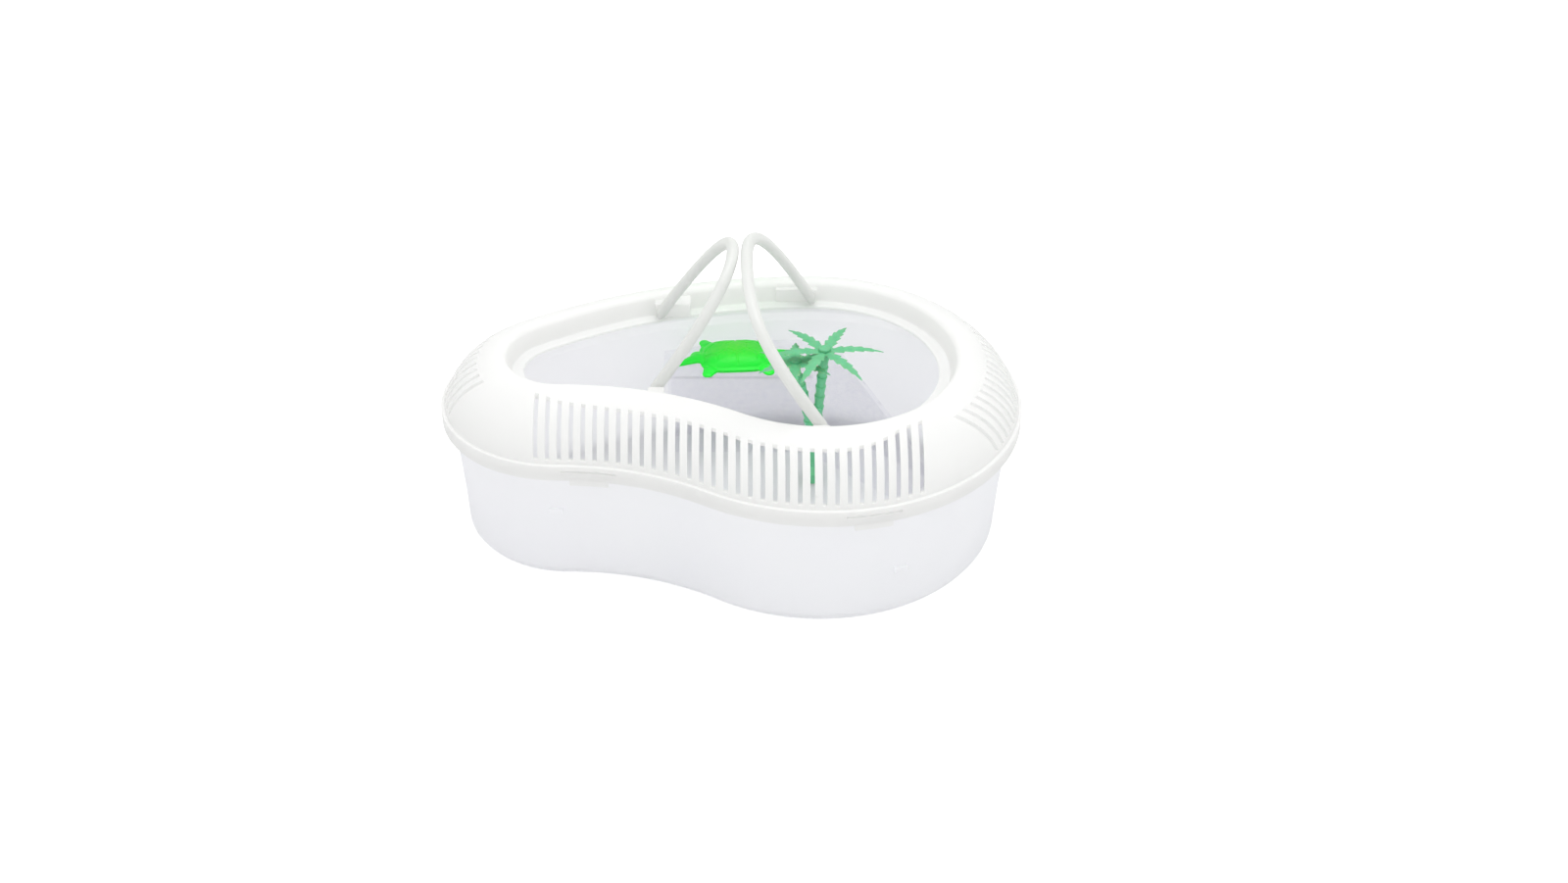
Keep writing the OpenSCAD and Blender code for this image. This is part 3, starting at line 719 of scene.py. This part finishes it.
handle_plastic, tree = new_material("moulded_polypropylene_of_the_handles")
place = add_node(tree, "ShaderNodeTexCoord")
# Flow marks run along the bar and make the milkiness a little uneven.
stretch = add_node(tree, "ShaderNodeMapping", {"Vector": place.outputs["Object"]},
                   Scale=(60, 12, 12))
cloud = add_node(tree, "ShaderNodeTexNoise", {"Vector": stretch.outputs[0]}, Scale=2.0,
                 Detail=2.0)
tint = two_tone(tree, cloud.outputs["Fac"], "#e4e5e3", "#ecedeb")
gloss = add_node(tree, "ShaderNodeMapRange", {"Value": cloud.outputs["Fac"]}, To_Min=0.3,
                 To_Max=0.4)
shader = add_node(tree, "ShaderNodeBsdfPrincipled",
                  {"Base Color": tint, "Roughness": gloss.outputs[0]}, IOR=MOULDED_IOR)
through = add_node(tree, "ShaderNodeBsdfTranslucent", {"Color": tint})
milk = add_node(tree, "ShaderNodeMixShader", {1: shader.outputs[0], 2: through.outputs[0]},
                Fac=0.5)
add_node(tree, "ShaderNodeOutputMaterial", {"Surface": milk.outputs[0]})
for bail, name in zip(bails, HANDLES):
    bail.data.materials.append(handle_plastic)
    shade(bail, 35)
    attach(bail, name)
    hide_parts(name)

# Palm: two trunks of flared rings grow from one plug, soft green polyethylene, one moulding.
PALM_AT = (50, 30)
PLUG_R = 6
PALM_FOOT_Z = 2.1
RINGS = 11
TRUNK_FROM = 7
TRUNK_R = 2.5
TRUNK_FLARE = 0.7
COLLAR = (3.4, 2)
CROWN_PIN = (1.3, 3)
LATHE_SIDES = 40
# The spot towards which each trunk bends, and its top.
TRUNKS = [((52, 31, 55), (54, 24, 95)), ((48, 27, 55), (37, 23, 88))]


def build_lathe(bm, spots):
    """A closed turned form through (point, direction, radius) spots."""
    rings = []
    for p, axis, r in spots:
        across = Vector((0, 1, 0)).cross(axis).normalized()
        rings.append(add_ring(bm, p, across, axis.cross(across), r, LATHE_SIDES))
    skin(bm, rings)


def bend(a, b, c, t):
    """The point at a share of a curve from a to c that is drawn towards b."""
    return (1 - t) ** 2 * a + 2 * t * (1 - t) * b + t * t * c


def trunk_spots(via, to):
    """Spots of one trunk: each ring flares upwards and steps back in under the next."""
    start = Vector((*PALM_AT, PALM_FOOT_Z + TRUNK_FROM))
    top = Vector(to) - Vector((0, 0, COLLAR[1]))
    via = Vector(via)
    spots = []
    for i in range(RINGS):
        for share, r in ((0.0, TRUNK_R), (0.45, TRUNK_R + 0.2), (0.8, TRUNK_R + 0.5),
                         (0.93, TRUNK_R + TRUNK_FLARE), (0.985, TRUNK_R + TRUNK_FLARE - 0.1)):
            t = (i + share) / RINGS
            along = bend(start, via, top, min(1, t + 0.01)) - bend(start, via, top, t - 0.01)
            spots.append((bend(start, via, top, t), along.normalized(), r))
    up = Vector((0, 0, 1))
    spots += [(top - 0.2 * up, up, COLLAR[0] - 0.4), (top + 0.2 * up, up, COLLAR[0]),
              (top + (COLLAR[1] - 0.4) * up, up, COLLAR[0]),
              (top + COLLAR[1] * up, up, COLLAR[0] - 0.4),
              (top + COLLAR[1] * up, up, CROWN_PIN[0]),
              (top + (COLLAR[1] + CROWN_PIN[1]) * up, up, CROWN_PIN[0])]
    return spots


def build_plug(bm):
    """The palm's foot: a round plug with a cone out of which the trunks grow."""
    up = Vector((0, 0, 1))
    foot = Vector((*PALM_AT, PALM_FOOT_Z))
    build_lathe(bm, [(foot + up * z, up, r) for z, r in (
        (0, PLUG_R - 0.5), (0.5, PLUG_R), (6.5, PLUG_R), (7, PLUG_R - 0.5), (8, PLUG_R - 1.2),
        (11.5, 3))])


palm = new_object("palm_trunks", build_plug)
for via, to in TRUNKS:
    trunk = new_object("trunk", lambda bm: build_lathe(bm, trunk_spots(via, to)))
    cut_or_join(palm, trunk, "UNION")

trunk_plastic, tree = new_material("moulded_green_polyethylene")
place = add_node(tree, "ShaderNodeTexCoord")
# Fine upright fibres, 0.5 mm apart, as the tool was cut to look like bark.
stretch = add_node(tree, "ShaderNodeMapping", {"Vector": place.outputs["Object"]},
                   Scale=(1900, 1900, 160))
fibre = add_node(tree, "ShaderNodeTexNoise", {"Vector": stretch.outputs[0]}, Scale=1.0,
                 Detail=2.0)
tint = two_tone(tree, fibre.outputs["Fac"], "#58c084", "#7ed3a3")
relief = add_node(tree, "ShaderNodeBump", {"Height": fibre.outputs["Fac"]}, Strength=0.35,
                  Distance=0.0003)
SOFT_IOR = 1.51
shader = add_node(tree, "ShaderNodeBsdfPrincipled",
                  {"Base Color": tint, "Normal": relief.outputs[0]}, Roughness=0.42,
                  IOR=SOFT_IOR, Subsurface_Weight=0.25, Subsurface_Scale=0.003)
add_node(tree, "ShaderNodeOutputMaterial", {"Surface": shader.outputs[0]})
palm.data.materials.append(trunk_plastic)
shade(palm, 35)
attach(palm, "palm")
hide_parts("palm_trunk")

# Crowns: a hub pressed onto each trunk's pin with six toothed fronds that arch over and
# droop. They are thin soft green plastic, paler where the light comes through.
FROND_ARCH_R = 70
FROND_T = 1.0
FROND_HALF_W = 4.6
FROND_TEETH = 5
FROND_Z = 2.4
FRONDS = 6
# The hub's radius at its foot and near its top, and its height.
HUB = (3.0, 3.6, 4.4)
# Each crown's foot, its fronds' length, and the first frond's direction.
CROWNS = {"palm_crown_tall": ((54, 24, 95), 35, 5), "palm_crown_short": ((37, 23, 88), 24, 27)}


def blade_half(s):
    """Half the frond's width at a share of its length, toothed like a saw."""
    body = FROND_HALF_W * (0.75 + 1.3 * s - 2.03 * s * s)
    tooth = (s * (FROND_TEETH + 1)) % 1
    return body * (0.58 + 0.42 * tooth) if s * (FROND_TEETH + 1) < FROND_TEETH + 0.6 else body


def build_frond(bm, length):
    """A thin arched blade with a raised midrib, closed all round."""
    count = 6 * (FROND_TEETH + 1)
    shares = [i / count for i in range(count)] + [0.995]
    rings = []
    for s in shares:
        x = max(1.2, s * length)
        rise = math.sqrt(FROND_ARCH_R ** 2 - (x - 0.4 * length) ** 2) - FROND_ARCH_R
        half = max(0.05, blade_half(s)) if s < 0.98 else 0.08
        thin = 1 - 0.55 * s
        rib = 0.25 * (1 - s)
        edge = 0.25 * FROND_T
        ring = [(-half, edge), (-half * 0.5, FROND_T * 0.8 * thin),
                (0, FROND_T * thin + rib), (half * 0.5, FROND_T * 0.8 * thin), (half, edge),
                (half * 0.5, 0.05), (0, 0.15), (-half * 0.5, 0.05)]
        rings.append([bm.verts.new((x, y, rise + z)) for y, z in ring])
    skin(bm, rings)


def crown_tree():
    """Geometry Nodes: fronds set round a hub at even turns, given the material."""
    group = bpy.data.node_groups.new("crown_of_fronds", "GeometryNodeTree")
    face = group.interface
    for name, kind in (("Geometry", "NodeSocketGeometry"), ("Count", "NodeSocketInt"),
                       ("First Turn", "NodeSocketFloat"), ("Each Turn", "NodeSocketFloat"),
                       ("Place", "NodeSocketVector"), ("Material", "NodeSocketMaterial")):
        face.new_socket(name, in_out="INPUT", socket_type=kind)
    face.new_socket("Geometry", in_out="OUTPUT", socket_type="NodeSocketGeometry")
    given = add_node(group, "NodeGroupInput")
    spots = add_node(group, "GeometryNodeMeshLine", {
        "Count": given.outputs["Count"], "Start Location": given.outputs["Place"]},
        mode="OFFSET", Offset=(0, 0, 0))
    index = add_node(group, "GeometryNodeInputIndex")
    angle = add_node(group, "ShaderNodeMath", {
        0: index.outputs[0], 1: given.outputs["Each Turn"], 2: given.outputs["First Turn"]},
        operation="MULTIPLY_ADD")
    turned = add_node(group, "ShaderNodeCombineXYZ", {"Z": angle.outputs[0]})
    placed = add_node(group, "GeometryNodeInstanceOnPoints", {
        "Points": spots.outputs[0], "Instance": given.outputs["Geometry"],
        "Rotation": turned.outputs[0]})
    real = add_node(group, "GeometryNodeRealizeInstances", {"Geometry": placed.outputs[0]})
    coat = add_node(group, "GeometryNodeSetMaterial", {
        "Geometry": real.outputs[0], "Material": given.outputs["Material"]})
    add_node(group, "NodeGroupOutput", {"Geometry": coat.outputs[0]})
    return group


frond_plastic, tree = new_material("thin_green_polyethylene")
place = add_node(tree, "ShaderNodeTexCoord")
mottle = add_node(tree, "ShaderNodeTexNoise", {"Vector": place.outputs["Object"]}, Scale=160.0,
                  Detail=3.0)
tint = two_tone(tree, mottle.outputs["Fac"], "#4fb47b", "#78c999")
relief = add_node(tree, "ShaderNodeBump", {"Height": mottle.outputs["Fac"]}, Strength=0.2,
                  Distance=0.0003)
shader = add_node(tree, "ShaderNodeBsdfPrincipled",
                  {"Base Color": tint, "Normal": relief.outputs[0]}, Roughness=0.45,
                  IOR=SOFT_IOR, Subsurface_Weight=0.3, Subsurface_Scale=0.002)
through = add_node(tree, "ShaderNodeBsdfTranslucent", {"Color": tint})
thin = add_node(tree, "ShaderNodeMixShader", {1: shader.outputs[0], 2: through.outputs[0]},
                Fac=0.25)
add_node(tree, "ShaderNodeOutputMaterial", {"Surface": thin.outputs[0]})

crowns = crown_tree()
for name, (at, length, first) in CROWNS.items():
    crown = new_object(name + "_fronds", lambda bm: build_frond(bm, length))
    crown.data.materials.append(frond_plastic)
    run_tree(crown, crowns, Count=FRONDS, First_Turn=math.radians(first),
             Each_Turn=2 * math.pi / FRONDS,
             Place=[at[0] * MM, at[1] * MM, (at[2] + FROND_Z) * MM], Material=frond_plastic)
    up = Vector((0, 0, 1))
    hub = new_object("hub", lambda bm: build_lathe(bm, [
        (Vector(at) + up * z, up, r) for z, r in (
            (0, HUB[0] - 0.2), (0.3, HUB[0]), (HUB[2] - 0.7, HUB[1]),
            (HUB[2] - 0.2, HUB[1] - 0.3), (HUB[2], HUB[1] - 1.2))]))
    cut_or_join(crown, hub, "UNION", overlapping=True)
    crown.data.materials.clear()
    crown.data.materials.append(frond_plastic)
    shade(crown, 50)
    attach(crown, "palm")
    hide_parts(name)

# Basking platform: a deck on a hollow foot with a ribbed ramp down to the floor, one thin
# moulding of clear plastic, open underneath, its edges softly rounded.
DECK_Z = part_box("basking_platform")[1].z / MM
PLATFORM_FOOT_Z = 2.3
PLATFORM_WALL = 1.8
DECK_X = (-42, 50)
DECK_Y = 56
DECK_IN = 15
BODY_IN = 25
DECK_LIP = 3
DECK_EDGE = 0.6
RAMP_FROM = (45, 61)
RAMP_TURN = math.radians(-45)
RAMP_SLOPE = math.radians(33)
RAMP_W = 34
RAMP_BACK = 12
RAMP_LOW = 6
# The ramp starts a hair under the foot, so that the two undersides don't lie in one plane.
RAMP_SUNK = 0.05
RAMP_RUN = (DECK_Z - RAMP_LOW - PLATFORM_FOOT_Z) / math.tan(RAMP_SLOPE)
RAMP_RIBS = 6
# A rib's width down the ramp and its rise.
RIB = (2.4, 1.2)


def deck_piece(inset, trim, low, high):
    """The plan drawn in by inset, cut to the deck's reach less trim, from low to high."""
    piece = new_object("deck", lambda bm: build_core(bm, inset, low, high - low))
    size = (DECK_X[1] - DECK_X[0] - 2 * trim, 120, high - low + 2)
    block = new_object("deck_reach", lambda bm: build_block(
        bm, size, (DECK_X[0] + trim, DECK_Y + trim + 60, low - 1)))
    cut_or_join(piece, block, "INTERSECT")
    return piece


def build_ramp(bm, trim):
    """The ramp's block, drawn in by trim on all sides."""
    outline = [(trim - RAMP_BACK, -trim), (RAMP_RUN - trim, -trim), (RAMP_RUN - trim, RAMP_LOW),
               (0, DECK_Z - PLATFORM_FOOT_Z), (trim - RAMP_BACK, DECK_Z - PLATFORM_FOOT_Z)]
    if trim:
        drop = trim / math.cos(RAMP_SLOPE)
        outline = [(x, z if z < 0 else z - (drop if x > trim else trim)) for x, z in outline]
    sides = [[bm.verts.new((x, y, PLATFORM_FOOT_Z - RAMP_SUNK + z)) for x, z in outline]
             for y in (trim, RAMP_W - trim)]
    for i in range(len(outline)):
        bm.faces.new((sides[0][i - 1], sides[0][i], sides[1][i], sides[1][i - 1]))
    bm.faces.new(sides[0])
    bm.faces.new(sides[1])
    bm.transform(Matrix.Translation((*RAMP_FROM, 0)) @ Matrix.Rotation(RAMP_TURN, 4, "Z"))


platform = deck_piece(DECK_IN, 0, DECK_Z - PLATFORM_WALL, DECK_Z)
bevel(platform, DECK_EDGE)
cut_or_join(platform, deck_piece(BODY_IN, DECK_LIP, PLATFORM_FOOT_Z, DECK_Z - DECK_EDGE),
            "UNION")
cut_or_join(platform, new_object("ramp", lambda bm: build_ramp(bm, 0)), "UNION")
for i in range(RAMP_RIBS):
    share = (i + 0.5) / RAMP_RIBS
    rib = new_object("rib", lambda bm: build_block(bm, (RIB[0], RAMP_W - 2 * PLATFORM_WALL,
                                                        2 * RIB[1]), (0, RAMP_W / 2, -RIB[1])))
    bevel(rib, 0.5, 2)
    rib.data.transform(
        Matrix.Translation((RAMP_FROM[0] * MM, RAMP_FROM[1] * MM, (DECK_Z + RIB[1] / 2) * MM))
        @ Matrix.Rotation(RAMP_TURN, 4, "Z")
        @ Matrix.Translation((share * RAMP_RUN * MM, 0,
                              -share * (DECK_Z - RAMP_LOW - PLATFORM_FOOT_Z) * MM))
        @ Matrix.Rotation(RAMP_SLOPE, 4, "Y"))
    cut_or_join(platform, rib, "UNION")
cut_or_join(platform, deck_piece(BODY_IN + PLATFORM_WALL, DECK_LIP + PLATFORM_WALL, 0,
                                 DECK_Z - PLATFORM_WALL), "DIFFERENCE")
cut_or_join(platform, new_object("ramp_hollow", lambda bm: build_ramp(bm, PLATFORM_WALL)),
            "DIFFERENCE")

platform_plastic, tree = new_material("thin_moulded_clear_polypropylene")
place = add_node(tree, "ShaderNodeTexCoord")
# A pebbled deck, about 3 mm from bump to bump, gives a pet's feet some grip.
pebble = add_node(tree, "ShaderNodeTexVoronoi", {"Vector": place.outputs["Object"]},
                  Scale=330.0)
tint = two_tone(tree, pebble.outputs["Distance"], "#ffffff", "#fcfcfe")
relief = add_node(tree, "ShaderNodeBump", {"Height": pebble.outputs["Distance"]},
                  Strength=0.12, Distance=0.0004, invert=True)
shader = add_node(tree, "ShaderNodeBsdfPrincipled",
                  {"Base Color": tint, "Normal": relief.outputs[0]},
                  Roughness=0.15, IOR=MOULDED_IOR)
# The plastic is clear: nearly all light goes straight through both faces of the thin wall.
through = add_node(tree, "ShaderNodeBsdfTransparent", {"Color": tint})
clear = add_node(tree, "ShaderNodeMixShader", {1: shader.outputs[0], 2: through.outputs[0]},
                 Fac=0.97)
add_node(tree, "ShaderNodeOutputMaterial", {"Surface": clear.outputs[0]})
platform.data.materials.append(platform_plastic)
shade(platform, 35)
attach(platform, "tub")
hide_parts("basking_platform")

# Turtle: a solid figure of bright green vinyl, cast in one piece, with a domed shell of
# scutes over a flat rim, four short legs, a pointed head and a long flat tail.
TURTLE_AT = (3, 76)
TURTLE_TURN = math.radians(4)
SHELL = (46, 34, 11)
SHELL_RIM = 3
SCUTE = (12.5, 9.8)
GROOVE = (1.3, 0.5)
LUMPS = 9
GRAIN = 0.42


def add_ball(bm, middle, radii, turn=0.0, square=1.0):
    """A stretched ball, its plan squarer the less square is: one lump of the figure."""
    made = bmesh.ops.create_icosphere(bm, subdivisions=4, radius=1)["verts"]
    for v in made:
        flat = math.hypot(v.co.x, v.co.y)
        if square < 1 and flat > 0.001:
            a, b = abs(v.co.x) / flat, abs(v.co.y) / flat
            grow = 1 / (a ** (2 / square) + b ** (2 / square)) ** (square / 2)
            v.co.x *= grow
            v.co.y *= grow
    bmesh.ops.transform(bm, verts=made, matrix=Matrix.Translation(middle)
                        @ Matrix.Rotation(turn, 4, "Z") @ Matrix.Diagonal((*radii, 1)))


def build_turtle(bm):
    """The figure's lumps, which the remesh runs into one: dome, rim, legs, head and tail."""
    length, width, high = SHELL
    add_ball(bm, (0, 0, 1.2), (length / 2 - 1.8, width / 2 - 1.6, high - 1.4), square=0.5)
    add_ball(bm, (0, 0, 2.4), (length / 2, width / 2, 1.7), square=0.45)
    for end in (-1, 1):
        for side in (-1, 1):
            a = math.atan2(side * width * 0.3, end * length * 0.14)
            add_ball(bm, (end * length * 0.36, side * width * 0.42, 1.9), (6.0, 4.6, 1.9), a)
            add_ball(bm, (end * length * 0.4, side * width * 0.53, 1.7), (4.4, 3.6, 1.5), a)
    add_ball(bm, (-length * 0.5, -0.6, 3.0), (5.5, 6.6, 2.4), 0.5)
    for i in range(LUMPS):
        add_ball(bm, (-length * 0.5 - 1.75 * i, -1.4 - 0.85 * i, 3.4 - 0.1 * i),
                 (3.4, 5.2 - 0.52 * i, 2.4 - 0.14 * i), 0.4)
    for i in range(LUMPS):
        add_ball(bm, (length * 0.46 + 2.1 * i, 3.2 + 0.2 * i, 1.9 - 0.08 * i),
                 (3.0, 5.0 - 0.38 * i, 1.7 - 0.1 * i))


def scute_depth(x, y):
    """How deep the groove between the shell's plates is at a point, in millimetres."""
    grid = [(SCUTE[0] * i, 0) for i in (-1, 0, 1)]
    grid += [(6.2 + SCUTE[0] * i, side * SCUTE[1]) for i in (-2, -1, 0, 1) for side in (-1, 1)]
    reach = sorted(math.hypot(x - px, (y - py) * 1.05) for px, py in grid)
    edge = reach[1] - reach[0]
    plates = max(0.0, 1 - edge / GROOVE[0]) * GROOVE[1]
    rings = 0.12 * math.cos(reach[0] * 3.2) ** 2
    return plates + rings


turtle = new_object("turtle_figure", build_turtle)
blend = turtle.modifiers.new("blend", "REMESH")
blend.mode = "VOXEL"
blend.voxel_size = GRAIN * MM
soften = turtle.modifiers.new("soften", "SMOOTH")
soften.factor = 0.6
soften.iterations = 5
apply_modifiers(turtle)
# The shell's top carries the grooves, and the underside is flat on the deck.
for v in [v for v in turtle.data.vertices if v.normal.z > 0.25]:
    x, y, z = (c / MM for c in v.co)
    across = (x / (SHELL[0] / 2 - SHELL_RIM)) ** 2 + (y / (SHELL[1] / 2 - SHELL_RIM)) ** 2
    if across < 1 and z > 3.6:
        v.co -= v.normal * scute_depth(x, y) * MM
for v in turtle.data.vertices:
    v.co.z = max(v.co.z, 0)
turtle.data.transform(Matrix.Translation((TURTLE_AT[0] * MM, TURTLE_AT[1] * MM, DECK_Z * MM))
                      @ Matrix.Rotation(TURTLE_TURN, 4, "Z"))
turtle_plastic, tree = new_material("bright_green_vinyl")
place = add_node(tree, "ShaderNodeTexCoord")
# The shell's middle is painted yellower: a painted highlight from above, broken by speckle.
centre = add_node(tree, "ShaderNodeMapping", {"Vector": place.outputs["Object"]},
                  vector_type="TEXTURE",
                  Location=(TURTLE_AT[0] * MM, TURTLE_AT[1] * MM, DECK_Z * MM),
                  Rotation=(0, 0, TURTLE_TURN), Scale=(0.024, 0.014, 0.05))
highlight_falloff = add_node(tree, "ShaderNodeTexGradient", {"Vector": centre.outputs[0]},
                gradient_type="SPHERICAL")
speckle = add_node(tree, "ShaderNodeTexNoise", {"Vector": place.outputs["Object"]},
                   Scale=420.0, Detail=3.0)
painted_highlight = add_node(tree, "ShaderNodeMath", {0: highlight_falloff.outputs["Fac"], 1: speckle.outputs["Fac"]},
                 operation="MULTIPLY")
tint = two_tone(tree, painted_highlight.outputs[0], "#00ee30", "#7af23c")
relief = add_node(tree, "ShaderNodeBump", {"Height": speckle.outputs["Fac"]}, Strength=0.2,
                  Distance=0.0003)
shader = add_node(tree, "ShaderNodeBsdfPrincipled",
                  {"Base Color": tint, "Normal": relief.outputs[0]},
                  Roughness=0.38, IOR=1.5, Subsurface_Weight=0.2, Subsurface_Scale=0.003)
add_node(tree, "ShaderNodeOutputMaterial", {"Surface": shader.outputs[0]})
turtle.data.materials.append(turtle_plastic)
shade(turtle, 60)
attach(turtle, "tub")
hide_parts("turtle")

# Floor: the white paper that the keeper stands on. It glows a little for the camera only, so
# that the picture's ground is as white as the photo's.
FLOOR_HALF = 2500


def build_floor(bm):
    """One flat sheet."""
    bmesh.ops.create_grid(bm, x_segments=1, y_segments=1, size=FLOOR_HALF)


floor = new_object("floor", build_floor)
floor.location.z = -0.0002
floor_paper, tree = new_material("white_paper")
matt = add_node(tree, "ShaderNodeBsdfDiffuse", Color=hex_colour("#e4e4e4"))
glow = add_node(tree, "ShaderNodeEmission", Strength=0.45)
path = add_node(tree, "ShaderNodeLightPath")
lift = add_node(tree, "ShaderNodeMixShader", {0: path.outputs["Is Camera Ray"]})
lit = add_node(tree, "ShaderNodeAddShader", {0: matt.outputs[0], 1: glow.outputs[0]})
tree.links.new(matt.outputs[0], lift.inputs[1])
tree.links.new(lit.outputs[0], lift.inputs[2])
add_node(tree, "ShaderNodeOutputMaterial", {"Surface": lift.outputs[0]})
floor.data.materials.append(floor_paper)

bpy.context.scene.view_settings.view_transform = "Standard"
